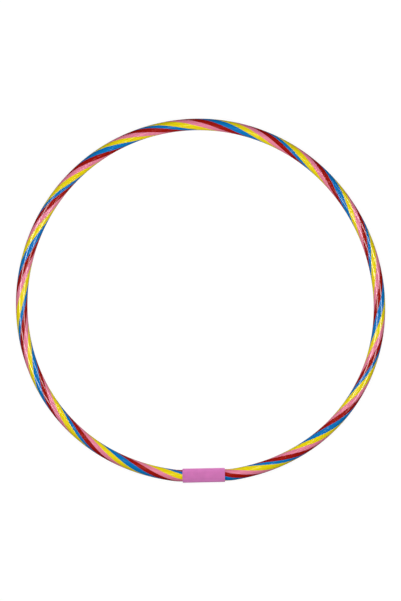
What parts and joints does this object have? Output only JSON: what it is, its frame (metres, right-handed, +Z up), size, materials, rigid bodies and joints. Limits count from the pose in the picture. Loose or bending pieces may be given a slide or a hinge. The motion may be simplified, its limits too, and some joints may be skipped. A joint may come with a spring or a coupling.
{
  "type": "rhythmic hoop",
  "caption": "Ring of round plastic tube with twisted stripes in several colours, its ends held by a plug and a straight sleeve, for rhythmic gymnastics and play.",
  "frame": {"origin": "middle of the underside of the hoop's box, on the plane it lies on", "axes": "the hoop lies flat: +Z up, square to the ring; the joint sleeve is at -Y and runs along X"},
  "size_m": [0.7038, 0.6934, 0.0268],
  "materials": {
    "yellow_plastic": "smooth and glossy, as extruded",
    "blue_plastic": "smooth and glossy, as extruded",
    "red_plastic": "smooth and glossy, as extruded",
    "pink_plastic": "smooth and glossy, as extruded",
    "sleeve_plastic": "matte, with a fine grain",
    "plug_plastic": "satin, as moulded"
  },
  "bodies": {
    "root": {"tube_base": "yellow_plastic", "blue_strip_1": "blue_plastic", "red_strip_1": "red_plastic", "pink_strip_1": "pink_plastic", "blue_strip_2": "blue_plastic", "red_strip_2": "red_plastic", "pink_strip_2": "pink_plastic", "joint_sleeve": "sleeve_plastic", "joint_plug": "plug_plastic"}
  },
  "joints": []
}
